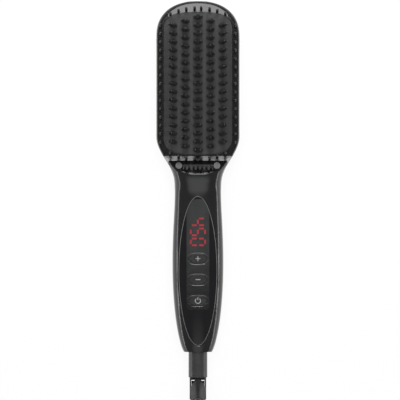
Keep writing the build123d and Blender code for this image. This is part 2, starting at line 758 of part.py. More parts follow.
def stack_layer(spare, z0, z1):
    wide = HEATER_GAP / 2 + HEATER_WIDTH + spare
    long = HEATER_LENGTH / 2 + spare
    return prism(RectangleRounded(2 * wide, 2 * long, 2.0), z0, z1)


def sensor(y, length):
    """A round sensor that lies along the brush between the strips, under the plate."""
    z = STRIP_TOP - SENSOR_DIAMETER / 2
    return Pos(0, y, z) * Rot(X=90) * Cylinder(SENSOR_DIAMETER / 2, length)


def carrier_places():
    x, y = CARRIER_SCREW_X, CARRIER_SCREW_Y
    return [(x, y), (x, -y), (-x, y), (-x, -y)]


def plate_carrier():
    tray = prism(plate_outline(0.0), CARRIER_FOOT, FLANGE_FOOT)
    tray -= prism(plate_outline(-CARRIER_RIM), SHEET_FOOT, FLANGE_FOOT)
    channel = LEAD_CHANNEL_WIDTH / 2
    tray -= block(-channel, channel, -PLATE_LENGTH, 0, SHEET_FOOT, FLANGE_FOOT)
    for x, y in carrier_places():
        tray -= upright(CARRIER_SCREW + SCREW_PLAY, x, y, 0, BIG)
    return tray


def screw(diameter, x, y, foot, seat):
    """A pan head screw that points down, its head on the seat."""
    head_height = 0.6 * diameter
    shaft = upright(diameter, x, y, foot, seat)
    head = upright(SCREW_HEAD_RATIO * diameter, x, y, seat, seat + head_height)
    drive = Pos(x, y, seat + head_height) * (Box(diameter, 0.5, 0.8) + Box(0.5, diameter, 0.8))
    return shaft + head - drive


def carrier_screws():
    foot = CARRIER_FOOT - CARRIER_SCREW_BITE
    return [screw(CARRIER_SCREW, x, y, foot, SHEET_FOOT) for x, y in carrier_places()]


# ---- ion module, ports and vent, on the slope below the plate ----

def on_slope(x, from_tip, sink):
    """A frame on the slope, its Z square to the slope and its Y up the slope."""
    origin = Vector(x, along(from_tip), slope_height(from_tip)) - SLOPE_NORMAL * sink
    return Plane(origin=origin, x_dir=(1, 0, 0), z_dir=SLOPE_NORMAL).location


def port_bore(diameter, x, depth):
    """An upright cylinder through the slope at a port, down to a depth below it."""
    middle = slope_height(PORT_FROM_TIP)
    return upright(diameter, x, along(PORT_FROM_TIP), middle - depth, middle + PORT_SOCKET)


def ion_emitter(x):
    """A plug that ends a little below the slope, with a rim and a needle."""
    plug = port_bore(PORT_DIAMETER - 2 * PORT_PLAY, x, EMITTER_DEPTH)
    core = port_bore(PORT_DIAMETER - 2 * PORT_PLAY - 4 * PORT_RIM, x, EMITTER_DEPTH)
    needle = port_bore(NEEDLE_DIAMETER, x, EMITTER_DEPTH)
    rim = (plug - core) - above_slope(PORT_RECESS - PORT_RIM)
    needle -= above_slope(PORT_RECESS - 2 * PORT_RIM)
    return (plug - above_slope(PORT_RECESS)) + rim + needle


def vent_block(grow_x, grow_y, depth0, depth1):
    face = RectangleRounded(VENT_WIDTH + 2 * grow_x, VENT_LENGTH + 2 * grow_y, VENT_CORNER)
    return on_slope(0, VENT_FROM_TIP, depth1) * extrude(face, depth1 - depth0)


def vent_grille():
    grille = vent_block(-VENT_PLAY, -VENT_PLAY, VENT_RECESS, FRONT_WALL)
    grille += vent_block(-VENT_PLAY, VENT_LIP, FRONT_WALL, FRONT_WALL + VENT_THICKNESS)
    deep = FRONT_WALL + VENT_THICKNESS
    for number in range(VENT_SLOTS):
        x = (number - (VENT_SLOTS - 1) / 2) * VENT_PITCH
        slot = Box(VENT_SLOT, VENT_LENGTH - 2 * VENT_BAR, 4 * deep)
        grille -= on_slope(x, VENT_FROM_TIP, 0) * slot
    return grille


def ion_generator():
    half = ION_WIDTH / 2
    ends = (along(ION_START + ION_LENGTH), along(ION_START))
    case = block(-half, half, *ends, ION_SEAT, ION_SEAT + ION_HEIGHT)
    return fillet(case.edges().filter_by(Axis.Z), 1.0)


# ---- control panel ----

def panel_ellipse(grow):
    face = Ellipse(PANEL_WIDTH / 2 + grow, PANEL_LENGTH / 2 + grow)
    return prism(Pos(0, along(PANEL_FROM_TIP)) * face, REAR_DEPTH, BIG / 4)


def window_prism(grow, start, end):
    long = end - start + 2 * grow
    face = RectangleRounded(WINDOW_WIDTH + 2 * grow, long, WINDOW_CORNER)
    return prism(Pos(0, along((start + end) / 2)) * face, REAR_DEPTH, BIG / 4)


SKIN = front_hull(0.0) - front_hull(PANEL_THICKNESS)
SUNK_SKIN = front_hull(PANEL_SUNK) - front_hull(PANEL_THICKNESS)
UNDER_SKIN = front_hull(PANEL_THICKNESS) - front_hull(FRONT_WALL)
WINDOW_SHAPE = window_prism(0.0, WINDOW_START, WINDOW_END) & panel_ellipse(-WINDOW_MARGIN)
OPENING = window_prism(-WINDOW_LEDGE, OPENING_START, OPENING_END)


def surface(from_tip):
    """Height of the front surface on the axis, from the flat back."""
    return REAR_DEPTH + front_height(from_tip)


def oval(length, width, from_tip, z):
    """An oval wire over the panel, long across the brush."""
    return Wire(Pos(0, along(from_tip), z) * Edge.make_ellipse(length / 2, width / 2))


def hollow(from_tip):
    """A flat ellipsoid that dips into the surface over a button."""
    ball = scale(Sphere(1), by=(DISH_LENGTH / 2, DISH_WIDTH / 2, DISH_HALF_HEIGHT))
    return Pos(0, along(from_tip), surface(from_tip) + DISH_RISE) * ball


def dish(from_tip):
    """The hollow round a button, with the hole that the cap passes through."""
    hole = Face(oval(CAP_LENGTH + 2 * CAP_GAP, CAP_WIDTH + 2 * CAP_GAP, from_tip, 0))
    return hollow(from_tip) + prism(hole, REAR_DEPTH, surface(from_tip))


def button(from_tip):
    """A push button: cap, flange that keeps it in, and the stem that reaches its switch."""
    top = surface(from_tip) - CAP_SUNK
    flange_foot = surface(from_tip) - CAP_FLANGE_SINK - CAP_FLANGE_THICKNESS
    cap = prism(Face(oval(CAP_LENGTH, CAP_WIDTH, from_tip, 0)), flange_foot, top)
    cap = fillet(cap.edges().group_by(Axis.Z)[-1], CAP_EDGE)
    flange_face = Face(oval(CAP_LENGTH + 2 * CAP_FLANGE, CAP_WIDTH + 2 * CAP_FLANGE, from_tip, 0))
    flange = prism(flange_face, flange_foot, flange_foot + CAP_FLANGE_THICKNESS)
    stem_foot = BOARD_FACE + SWITCH_HEIGHT + PLUNGER_HEIGHT + BUTTON_TRAVEL + STEM_PLAY
    return cap + flange + upright(STEM_DIAMETER, 0, along(from_tip), stem_foot, flange_foot)


def segment_boxes():
    """The seven bars of a digit whose top points across the brush, as (name, place, size)."""
    high = DIGIT_HEIGHT / 2
    wide = DIGIT_WIDTH / 2
    bar = SEGMENT_WIDTH
    across = DIGIT_WIDTH - 2 * (bar + SEGMENT_GAP)
    upward = high - 1.5 * bar - 2 * SEGMENT_GAP
    middle = (high - bar / 2) / 2
    boxes = {
        "a": (high - bar / 2, 0.0, bar, across),
        "d": (bar / 2 - high, 0.0, bar, across),
        "g": (0.0, 0.0, bar, across),
        "b": (middle, bar / 2 - wide, upward, bar),
        "c": (-middle, bar / 2 - wide, upward, bar),
        "f": (middle, wide - bar / 2, upward, bar),
        "e": (-middle, wide - bar / 2, upward, bar),
    }
    return boxes


def digit_prisms():
    prisms = []
    boxes = segment_boxes()
    for number, lit in enumerate(DIGITS):
        centre = along(DIGIT_FROM_TIP + number * DIGIT_PITCH)
        for name in lit:
            x, y, size_x, size_y = boxes[name]
            face = Pos(x, centre + y) * RectangleRounded(size_x, size_y, SEGMENT_WIDTH / 3)
            prisms.append(prism(face, REAR_DEPTH, BIG / 4))
    return prisms


BOARD_FACE = REAR_DEPTH + BOARD_TOP
BOARD_FOOT = BOARD_FACE - BOARD_THICKNESS
DISHES = [dish(place) for place in BUTTON_FROM_TIP]
WINDOW_BODY = (SUNK_SKIN & WINDOW_SHAPE) + (UNDER_SKIN & OPENING)


def digit_segments():
    return [bar & WINDOW_BODY for bar in digit_prisms()]


def display_window():
    return WINDOW_BODY - DISHES - digit_prisms()


def rolled(shape):
    """The shape with the upper edge of its longest loop rounded."""
    loops = shape.edges().filter_by(lambda edge: edge.is_closed).sort_by(SortBy.LENGTH)[-2:]
    return fillet(loops.sort_by(Axis.Z)[-1], PANEL_EDGE)


def control_panel():
    return rolled((SUNK_SKIN & panel_ellipse(-PANEL_GAP)) - WINDOW_SHAPE) - DISHES


# ---- electronics on the board ----

def post_places():
    ends = (BOARD_START + POST_INSET, BOARD_END - POST_INSET)
    return [(x, along(place)) for x in (POST_X, -POST_X) for place in ends]


def main_board():
    half = BOARD_WIDTH / 2
    board = block(-half, half, along(BOARD_END), along(BOARD_START), BOARD_FOOT, BOARD_FACE)
    for x, y in post_places():
        board -= upright(BOARD_SCREW + SCREW_PLAY, x, y, 0, BIG)
    return board


def board_screws():
    foot = BOARD_FOOT - BOARD_SCREW_BITE
    return [screw(BOARD_SCREW, x, y, foot, BOARD_FACE) for x, y in post_places()]


def tact_switches():
    half = SWITCH_SIZE / 2
    switches = []
    for place in BUTTON_FROM_TIP:
        y = along(place)
        body = block(-half, half, y - half, y + half, BOARD_FACE, BOARD_FACE + SWITCH_HEIGHT)
        top = BOARD_FACE + SWITCH_HEIGHT
        switches.append(body + upright(PLUNGER_DIAMETER, 0, y, top, top + PLUNGER_HEIGHT))
    return switches


def led_display():
    half = DISPLAY_WIDTH / 2
    middle = along(DIGIT_FROM_TIP + DIGIT_PITCH)
    ends = (middle - DISPLAY_LENGTH / 2, middle + DISPLAY_LENGTH / 2)
    return block(-half, half, *ends, BOARD_FACE, BOARD_FACE + DISPLAY_HEIGHT)


def power_parts():
    """Triac, film capacitor and terminal block, on the underside of the board."""
    parts = []
    for half, start, end, height in POWER_PARTS:
        parts.append(block(-half, half, along(end), along(start), BOARD_FOOT - height, BOARD_FOOT))
    return parts


# ---- covers ----

def front_boss(from_tip):
    return upright(BOSS_DIAMETER, 0, along(from_tip), REAR_DEPTH, BIG / 4) & front_hull(PANEL_THICKNESS)


def screw_seat(from_tip):
    return surface(from_tip) - PANEL_THICKNESS - SEAT_SINK


def handle_screws():
    foot = REAR_DEPTH - HANDLE_SCREW_BITE
    places = HANDLE_SCREW_FROM_TIP
    return [screw(HANDLE_SCREW, 0, along(place), foot, screw_seat(place)) for place in places]


def bearing_hole():
    """The hole through the handle's end wall that the swivel turns in."""
    return turned(JOURNAL_DIAMETER + 2 * JOURNAL_GAP, BODY_LENGTH - 2 * END_WALL, BODY_LENGTH + 1)


def front_cover():
    cover = FRONT_OUTER - (FRONT_INNER & INSIDE)
    for x in (PORT_X, -PORT_X):
        cover += port_bore(PORT_DIAMETER + 2 * PORT_WALL, x, PORT_SOCKET) & FRONT_OUTER
        cover -= port_bore(PORT_DIAMETER, x, EMITTER_DEPTH)
    cover += [front_boss(place) for place in HANDLE_SCREW_FROM_TIP]
    cover -= HEAD_SIDE
    cover = rolled(cover - (SKIN & panel_ellipse(0.0)))
    cover -= OPENING
    cover -= vent_block(0, 0, -VENT_LENGTH, FRONT_WALL + VENT_THICKNESS)
    cover -= bearing_hole()
    for place in HANDLE_SCREW_FROM_TIP:
        y = along(place)
        cover -= upright(HANDLE_SCREW + SCREW_PLAY, 0, y, REAR_DEPTH, BIG)
        cover -= upright(SCREW_HEAD_RATIO * HANDLE_SCREW + SCREW_PLAY, 0, y, screw_seat(place), BIG)
    return cover - SEAM_SPACE


def rear_grooves():
    """Fine grooves that run down the back from the tip, longest in the middle."""
    skin = REAR_OUTER - rear_hull(GROOVE_DEPTH)
    half = GROOVE_WIDTH / 2
    grooves = []
    for number in range(-3, 4):
        x = number * GROOVE_PITCH
        start = GROOVE_START + GROOVE_START_BOW * number ** 2
        end = GROOVE_END - GROOVE_END_BOW * number ** 2
        grooves.append(skin & block(x - half, x + half, along(end), along(start), -1, REAR_DEPTH / 2))
    return grooves


def rear_cover():
    shell = REAR_OUTER - (REAR_INNER & INSIDE)
    added = [upright(BOSS_DIAMETER, x, y, 0, CARRIER_FOOT) for x, y in carrier_places()]
    added += [upright(POST_DIAMETER, x, y, 0, BOARD_FOOT) for x, y in post_places()]
    added += [upright(BOSS_DIAMETER, 0, along(place), 0, REAR_DEPTH) for place in HANDLE_SCREW_FROM_TIP]
    for place in (ION_START + ION_LENGTH / 5, ION_START + ION_LENGTH * 4 / 5):
        y = along(place)
        added.append(block(-BIG, BIG, y - RIB_THICKNESS / 2, y + RIB_THICKNESS / 2, 0, ION_SEAT))
    whole = REAR_OUTER + prism(Face(outline(REAR_WALL, 0.0)), REAR_DEPTH, REAR_DEPTH + BIG)
    shell += [piece & whole for piece in added]
    for x, y in carrier_places():
        shell -= upright(CARRIER_SCREW + SCREW_PLAY, x, y, CARRIER_FOOT - CARRIER_SCREW_BITE, BIG)
    for x, y in post_places():
        shell -= upright(BOARD_SCREW + SCREW_PLAY, x, y, BOARD_FOOT - BOARD_SCREW_BITE, BIG)
    for place in HANDLE_SCREW_FROM_TIP:
        shell -= upright(HANDLE_SCREW + SCREW_PLAY, 0, along(place), REAR_DEPTH - HANDLE_SCREW_BITE, BIG)
    shell -= bearing_hole()
    return shell - rear_grooves()


# ---- leads inside the body ----

def lead(points, radii):
    """A round insulated lead along straight runs joined by arcs."""
    path = FilletPolyline(*points, radius=radii)
    start = Plane(origin=path @ 0, z_dir=path % 0)
    return sweep(start * Circle(LEAD_DIAMETER / 2), path=path)


def heater_leads():
    z = FLANGE_FOOT + HEATER_LEAD_LIFT
    board_z = BOARD_FOOT + BOARD_THICKNESS / 2
    strip_x, board_x = HEATER_LEAD_X
    leads = []
    for side in (1, -1):
        points = [
            (side * strip_x, -HEATER_LENGTH / 2, z),
            (side * strip_x, along(HEATER_LEAD_BENDS[0]), z),
            (side * board_x, along(HEATER_LEAD_BENDS[1]), board_z),
            (side * board_x, along(BOARD_START), board_z),
        ]
        leads.append(lead(points, [HEATER_LEAD_RADIUS, HEATER_LEAD_RADIUS]))
    return leads


def mains_leads():
    board_z = BOARD_FOOT + BOARD_THICKNESS / 2
    spring_x, board_x = MAINS_LEAD_X
    low, high = MAINS_LEAD_DEPTH
    leads = []
    for side in (1, -1):
        points = [
            (side * spring_x, along(SPIGOT_START), REAR_DEPTH - low),
            (side * spring_x, along(MAINS_LEAD_BENDS[0]), REAR_DEPTH - low),
            (side * board_x, along(MAINS_LEAD_BENDS[1]), REAR_DEPTH - high),
            (side * board_x, along(MAINS_LEAD_BENDS[2]), board_z),
            (side * board_x, along(BOARD_END), board_z),
        ]
        leads.append(lead(points, MAINS_LEAD_RADII))
    return leads


def ion_leads():
    leads = []
    for side in (1, -1):
        foot = Vector(side * PORT_X, along(PORT_FROM_TIP), slope_height(PORT_FROM_TIP) - EMITTER_DEPTH)
        y = along(ION_START + ION_LEAD_IN)
        z = ION_SEAT + ION_LEAD_IN
        points = [
            foot,
            foot - Vector(0, 0, ION_LEAD_OUT),
            Vector(side * (ION_WIDTH / 2 + ION_LEAD_SPAN), y, z),
            Vector(side * ION_WIDTH / 2, y, z),
        ]
        leads.append(lead(points, ION_LEAD_RADII))
    return leads


# ---- swivel, its contacts and the cord boot ----

def swivel_barrel():
    wall_in = BODY_LENGTH - END_WALL - COLLAR_START_GAP
    wall_out = BODY_LENGTH + COLLAR_START_GAP
    barrel = turned(SPIGOT_DIAMETER, SPIGOT_START, wall_in)
    barrel += turned(FLANGE_DIAMETER, wall_in - SWIVEL_FLANGE_THICKNESS, wall_in)
    barrel += turned(JOURNAL_DIAMETER, wall_in, wall_out)
    barrel += turned(COLLAR_DIAMETER, wall_out, COLLAR_END_FROM_TIP)
    barrel += fork()
    return barrel - turned(SWIVEL_BORE, SPIGOT_START, WEB_END_FROM_TIP)


def fork():
    """Two ears below the collar that hold the boot's pivot pin."""
    corners = [
        (FORK_REAR, COLLAR_END_FROM_TIP),
        (FORK_FRONT, COLLAR_END_FROM_TIP),
        (FORK_FRONT, FORK_SLANT_FROM_TIP),
        (FORK_FOOT_FRONT, FORK_END_FROM_TIP),
        (FORK_REAR, FORK_END_FROM_TIP),
    ]
    points = [(0, along(place), REAR_DEPTH + depth) for depth, place in corners]
    side = Face(Wire(Polyline(*points, close=True)))
    ears = extrude(Pos(-FORK_WIDTH / 2, 0, 0) * side, FORK_WIDTH, dir=(1, 0, 0))
    ears = fillet(ears.edges().filter_by(Axis.X).group_by(Axis.Y)[0], FORK_ROUND)
    ears = fillet(ears.edges().filter_by(Axis.Y), FORK_EDGE)
    slot = FORK_SLOT / 2
    ears -= block(-slot, slot, -BIG, along(WEB_END_FROM_TIP), 0, BIG)
    web = REAR_DEPTH + FORK_REAR + FORK_WEB
    ears -= block(-slot, slot, -BIG, along(COLLAR_END_FROM_TIP), web, BIG)
    return ears - pivot_bore(PIVOT_DIAMETER)


def pivot_bore(diameter):
    place = Pos(0, along(PIVOT_FROM_TIP), REAR_DEPTH + PIVOT_OFFSET)
    return place * Rot(Y=90) * Cylinder(diameter / 2, 2 * FORK_WIDTH)


def pivot_pin():
    between = block(-FORK_WIDTH / 2, FORK_WIDTH / 2, -BIG, BIG, 0, BIG)
    return pivot_bore(PIVOT_DIAMETER - 2 * RING_GAP) & between


def slip_rings():
    rings = []
    for place in RING_FROM_TIP:
        ends = (place - RING_WIDTH / 2, place + RING_WIDTH / 2)
        rings.append(turned(RING_DIAMETER, *ends) - turned(SPIGOT_DIAMETER + 2 * RING_GAP, *ends))
    return rings


CONTACT_TOP = REAR_DEPTH - RING_DIAMETER / 2 - CONTACT_GAP
CONTACT_FOOT = CONTACT_TOP - CONTACT_THICKNESS


def contact_springs():
    half = CONTACT_LENGTH / 2
    wide = RING_WIDTH / 2 - CONTACT_GAP
    springs = []
    for place in RING_FROM_TIP:
        y = along(place)
        springs.append(block(-half, half, y - wide, y + wide, CONTACT_FOOT, CONTACT_TOP))
    return springs


def contact_block():
    half = BLOCK_WIDTH / 2
    ends = (along(SPIGOT_START + BLOCK_LENGTH), along(SPIGOT_START))
    return block(-half, half, *ends, 0, CONTACT_FOOT) & REAR_INNER


def boot_oval(height, width, reach):
    """A cross-section of the straight boot, this far from the pivot."""
    edge = Edge.make_ellipse(width / 2, height / 2)
    return Wire(Pos(0, -reach, 0) * Rot(X=90) * edge)


def boot_size(reach):
    """Height and width of the boot's ribs, this far from the pivot."""
    share = (reach - BOOT_BASE_START) / (BOOT_LENGTH - BOOT_BASE_START)
    height = BOOT_BASE_HEIGHT + (BOOT_TIP_HEIGHT - BOOT_BASE_HEIGHT) * share
    if reach < BOOT_SHOULDER:
        return height, BOOT_ROOT_WIDTH
    share = (reach - BOOT_SHOULDER) / (BOOT_LENGTH - BOOT_SHOULDER)
    return height, BOOT_WIDTH + (BOOT_TIP_WIDTH - BOOT_WIDTH) * share


def straight_boot():
    """The boot on its pivot, pointing straight away from the handle."""
    ends = []
    for reach in (BOOT_SHOULDER, BOOT_LENGTH):
        height, width = boot_size(reach)
        ends.append(boot_oval(height - 2 * RIB_DEPTH, width - 2 * RIB_DEPTH, reach))
    boot = Solid.make_loft(ends, ruled=True)
    height, _ = boot_size(BOOT_SHOULDER + RIB_PITCH)
    root = Face(boot_oval(height - 2 * RIB_DEPTH, BOOT_ROOT_WIDTH - 2 * RIB_DEPTH, BOOT_BASE_START))
    boot += extrude(root, BOOT_SHOULDER + RIB_LENGTH - BOOT_BASE_START, dir=(0, -1, 0))
    ribs = []
    for number in range(RIB_COUNT):
        reach = BOOT_BASE_START + number * RIB_PITCH
        height, width = boot_size(reach)
        rib = extrude(Face(boot_oval(height, width, reach)), RIB_LENGTH, dir=(0, -1, 0))
        ribs.append(rib)
    height, width = boot_size(BOOT_LENGTH)
    ribs.append(extrude(Face(boot_oval(height, width, BOOT_LENGTH)), BOOT_NOSE, dir=(0, 1, 0)))
    ribs.append(Rot(Y=90) * Cylinder(KNUCKLE_DIAMETER / 2, BOOT_ROOT_WIDTH))
    boot += ribs
    boot -= Rot(Y=90) * Cylinder(PIVOT_DIAMETER / 2 + PIVOT_GAP, 2 * BOOT_WIDTH)
    bore = Pos(0, CORD_BORE_DEPTH / 2 - BOOT_LENGTH, 0) * Rot(X=90)
    return boot - bore * Cylinder(CORD_BORE / 2, CORD_BORE_DEPTH)


def cord_boot():
    place = Pos(0, along(PIVOT_FROM_TIP), REAR_DEPTH + PIVOT_OFFSET)
    return place * Rot(X=-BOOT_FOLD) * straight_boot()


# ---- the nodes ----

save("rear_cover", [rear_cover()])
save("front_cover", [front_cover()])
save("guard_frame", [guard_frame()])
save("guard_bristles", GUARD_BRISTLES)
save("heating_plate", [heating_plate()])
save("tooth_fins", tooth_fins())
save("tooth_caps", tooth_caps())
save("plate_gasket", [plate_gasket()])
save("heater_strips", heater_strips())
save("heater_clamp", [stack_layer(0.0, CLAMP_FOOT, STRIP_FOOT)])
save("insulation_sheet", [stack_layer(POCKET_MARGIN / 2, SHEET_FOOT, CLAMP_FOOT)])
save("plate_carrier", [plate_carrier()])
save("carrier_screws", carrier_screws())
save("thermistor", [sensor(THERMISTOR_Y, THERMISTOR_LENGTH)])
save("thermal_fuse", [sensor(FUSE_Y, FUSE_LENGTH)])
save("heater_leads", heater_leads())
save("vent_grille", [vent_grille()])
save("ion_emitters", [ion_emitter(PORT_X), ion_emitter(-PORT_X)])
save("ion_generator", [ion_generator()])
save("ion_leads", ion_leads())
save("control_panel", [control_panel()])
save("display_window", [display_window()])
save("digit_segments", digit_segments())
save("led_display", [led_display()])
save("main_board", [main_board()])
save("board_screws", board_screws())
save("tact_switches", tact_switches())
save("power_parts", power_parts())
for name, place in zip(("plus", "minus", "power"), BUTTON_FROM_TIP):
    save("button_" + name, [button(place)])
save("handle_screws", handle_screws())
save("contact_block", [contact_block()])
save("contact_springs", contact_springs())
save("mains_leads", mains_leads())
save("swivel_barrel", [swivel_barrel()])
save("slip_rings", slip_rings())
save("pivot_pin", [pivot_pin()])
save("cord_boot", [cord_boot()])
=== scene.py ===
import math

import bmesh
import bpy
from mathutils import Matrix, Vector


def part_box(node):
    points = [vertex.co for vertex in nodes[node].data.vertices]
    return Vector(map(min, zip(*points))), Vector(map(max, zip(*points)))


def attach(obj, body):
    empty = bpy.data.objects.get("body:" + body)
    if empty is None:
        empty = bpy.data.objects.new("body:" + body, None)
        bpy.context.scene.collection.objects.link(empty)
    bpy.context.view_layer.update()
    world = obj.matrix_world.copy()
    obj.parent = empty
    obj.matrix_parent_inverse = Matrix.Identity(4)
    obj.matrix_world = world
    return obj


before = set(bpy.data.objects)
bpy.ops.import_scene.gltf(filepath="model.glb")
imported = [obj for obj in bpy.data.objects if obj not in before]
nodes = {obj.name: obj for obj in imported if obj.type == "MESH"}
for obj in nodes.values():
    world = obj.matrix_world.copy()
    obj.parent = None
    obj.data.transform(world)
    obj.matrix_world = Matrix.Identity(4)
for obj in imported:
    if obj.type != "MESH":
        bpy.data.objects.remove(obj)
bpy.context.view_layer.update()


# ---- camera and studio ----
# The brush lies on its flat back on a pale table, bristles up, and the camera looks straight down
# on it from far off. Soft boxes overhead and high at the sides light matt surfaces only. Gloss
# mirrors the dim room, a soft glow in it, and boxes past both ends and low down at the sides.

VIEW_HEIGHT = 0.307
AIM = Vector((0.0016, -0.0892, 0.0135))
CAMERA_DISTANCE = 3.0
TABLE_SIZE = 6.0
TABLE_DROP = 0.0002
TABLE_COLOR = (0.85, 0.85, 0.85)
TABLE_ROUGHNESS = 0.9
TABLE_WHITENESS = 0.92
ROOM_LIGHT = 0.2
GLOW_LIGHT = 0.75
GLOW_TOWARDS = (0.0, -0.60, 0.80)
GLOW_EDGE = 0.86           # cosine of the angle at which the glow ends

camera_data = bpy.data.cameras.new("camera")
camera_data.lens = camera_data.sensor_width * CAMERA_DISTANCE / VIEW_HEIGHT
camera = bpy.data.objects.new("camera", camera_data)
camera.location = AIM + Vector((0, 0, CAMERA_DISTANCE))
bpy.context.scene.collection.objects.link(camera)
bpy.context.scene.camera = camera
bpy.context.scene.view_settings.view_transform = "Standard"


def add_node(tree, kind, sockets=None, **settings):
    """Adds a shader node. Sockets are given by name or number, as values or as links."""
    node = tree.nodes.new("ShaderNode" + kind)
    for name, value in settings.items():
        setattr(node, name, value)
    for name, value in (sockets or {}).items():
        if isinstance(value, bpy.types.NodeSocket):
            tree.links.new(value, node.inputs[name])
        else:
            node.inputs[name].default_value = value
    return node


def calculate(tree, operation, first, second):
    """What a Math node makes of two numbers."""
    return add_node(tree, "Math", {0: first, 1: second}, operation=operation).outputs[0]


def calculate_vector(tree, operation, first, second=(0, 0, 0), output="Vector"):
    """What a Vector Math node makes of one or two vectors."""
    return add_node(tree, "VectorMath", {0: first, 1: second}, operation=operation).outputs[output]


def spread(tree, value, start, end, low=0.0, high=1.0, **settings):
    """A value that runs from low to high where the given one runs from start to end."""
    sockets = {"Value": value, 1: start, 2: end, 3: low, 4: high}
    return add_node(tree, "MapRange", sockets, **settings).outputs[0]


def new_material(name, color, roughness, **sockets):
    """A new material, its node tree and its Principled shader."""
    material = bpy.data.materials.new(name)
    material.use_nodes = True
    shader = material.node_tree.nodes["Principled BSDF"]
    shader.inputs["Base Color"].default_value = (*color, 1)
    shader.inputs["Roughness"].default_value = roughness
    for socket, value in sockets.items():
        shader.inputs[socket.replace("_", " ")].default_value = value
    return material, material.node_tree, shader


bm = bmesh.new()
bmesh.ops.create_grid(bm, x_segments=1, y_segments=1, size=TABLE_SIZE / 2)
bmesh.ops.translate(bm, verts=bm.verts, vec=(0, 0, -TABLE_DROP))
table_mesh = bpy.data.meshes.new("table")
bm.to_mesh(table_mesh)
bm.free()
table = bpy.data.objects.new("table", table_mesh)
bpy.context.scene.collection.objects.link(table)

# The camera, gloss and glass see a white table, and light falls on a pale one. From below the
# camera looks through it.
material, tree, shader = new_material("pale_table", TABLE_COLOR, TABLE_ROUGHNESS)
rays = add_node(tree, "LightPath").outputs
seen = calculate(tree, "MAXIMUM", rays["Is Camera Ray"], rays["Is Glossy Ray"])
seen = calculate(tree, "MAXIMUM", seen, rays["Is Transmission Ray"])
whiteness = calculate(tree, "MULTIPLY", seen, TABLE_WHITENESS)
glow = add_node(tree, "Emission").outputs[0]
white = add_node(tree, "MixShader", {0: whiteness, 1: shader.outputs[0], 2: glow}).outputs[0]
below = add_node(tree, "NewGeometry").outputs["Backfacing"]
clear = calculate(tree, "MULTIPLY", below, rays["Is Camera Ray"])
nothing = add_node(tree, "BsdfTransparent").outputs[0]
top = add_node(tree, "MixShader", {0: clear, 1: white, 2: nothing}).outputs[0]
tree.links.new(top, tree.nodes["Material Output"].inputs["Surface"])
table.data.materials.append(material)

world = bpy.data.worlds.new("studio")
bpy.context.scene.world = world
world.use_nodes = True
tree = world.node_tree
room = tree.nodes["Background"]
room.inputs["Color"].default_value = (1, 1, 1, 1)
towards = add_node(tree, "TexCoord").outputs["Generated"]
facing = calculate_vector(tree, "DOT_PRODUCT", towards, GLOW_TOWARDS, "Value")
strength = spread(
    tree, facing, GLOW_EDGE, 1.0, ROOM_LIGHT, ROOM_LIGHT + GLOW_LIGHT,
    interpolation_type="SMOOTHSTEP")
tree.links.new(strength, room.inputs["Strength"])
paper = add_node(tree, "Background", {"Color": (1, 1, 1, 1)}).outputs[0]
rays = add_node(tree, "LightPath").outputs
sky = add_node(tree, "MixShader", {0: rays["Is Camera Ray"], 1: room.outputs[0], 2: paper})
tree.links.new(sky.outputs[0], tree.nodes["World Output"].inputs["Surface"])


def soft_box(name, side, height, distance, size, radiance, mirrored=True):
    """An area lamp that faces the brush from a side, at a height in degrees above the table."""
    up = math.radians(height)
    lamp = bpy.data.lights.new(name, "AREA")
    lamp.shape = "RECTANGLE"
    lamp.size, lamp.size_y = size
    lamp.energy = radiance * math.pi * size[0] * size[1]
    holder = bpy.data.objects.new(name, lamp)
    holder.location = AIM + distance * (Vector(side) * math.cos(up) + Vector((0, 0, math.sin(up))))
    holder.rotation_euler = (AIM - holder.location).to_track_quat("-Z", "Y").to_euler()
    holder.visible_camera = False
    holder.visible_glossy = mirrored
    bpy.context.scene.collection.objects.link(holder)


soft_box("over_box", (0, 1, 0), 90, 1.6, (1.2, 0.25), 5.0, mirrored=False)
soft_box("left_box", (-1, 0, 0), 4, 0.9, (1.1, 0.1), 4.5)
soft_box("right_box", (1, 0, 0), 4, 0.9, (1.1, 0.1), 4.5)
soft_box("left_high_box", (-1, 0, 0), 74, 1.4, (0.6, 0.24), 8, mirrored=False)
soft_box("right_high_box", (1, 0, 0), 74, 1.4, (0.6, 0.24), 8, mirrored=False)
soft_box("head_box", (0, 1, 0), 64, 1.4, (0.5, 0.45), 8)
soft_box("tip_box", (0, 1, 0), 22, 0.3, (0.2, 0.03), 20)
soft_box("tail_box", (0, -1, 0), 25, 1.5, (0.6, 0.5), 4)


# ---- shells ----
# The rear and front covers are injection moulded from black plastic in polished tools. The gloss
# is even but for faint smears, and the skin has the slight waves of any moulded part.

NOISE_LOW = 0.3            # the range that soft noise keeps to
NOISE_HIGH = 0.7
SMEAR_SCALE = 55.0         # cycles in a metre, as in every pattern below
SMEAR_ROUGHNESS = 0.62
TINT_SCALE = 121.0
WAVE_SCALE = 160.0
WAVE_HEIGHT = 0.0005
GRAIN_HEIGHT = 0.00005
POLISHED = {"Grain Depth": 0.0, "Wave Depth": 0.004, "Roughness Spread": 0.03, "Color Spread": 0.1}


def own_place(tree):
    """The place of a point in the piece's own space, in metres."""
    return add_node(tree, "TexCoord").outputs["Object"]


def noise(tree, place, scale, detail=2.0, roughness=0.5):
    """Soft noise in three dimensions."""
    sockets = {"Vector": place, "Scale": scale, "Detail": detail, "Roughness": roughness}
    return add_node(tree, "TexNoise", sockets).outputs[0]


def wandering(tree, pattern, low, high):
    """Soft noise spread out to wander between a low and a high value."""
    return spread(tree, pattern, NOISE_LOW, NOISE_HIGH, low, high)


def bump(tree, strength, distance, height, **sockets):
    """The normal of a Bump node."""
    sockets = {"Strength": strength, "Distance": distance, "Height": height, **sockets}
    return add_node(tree, "Bump", sockets).outputs[0]


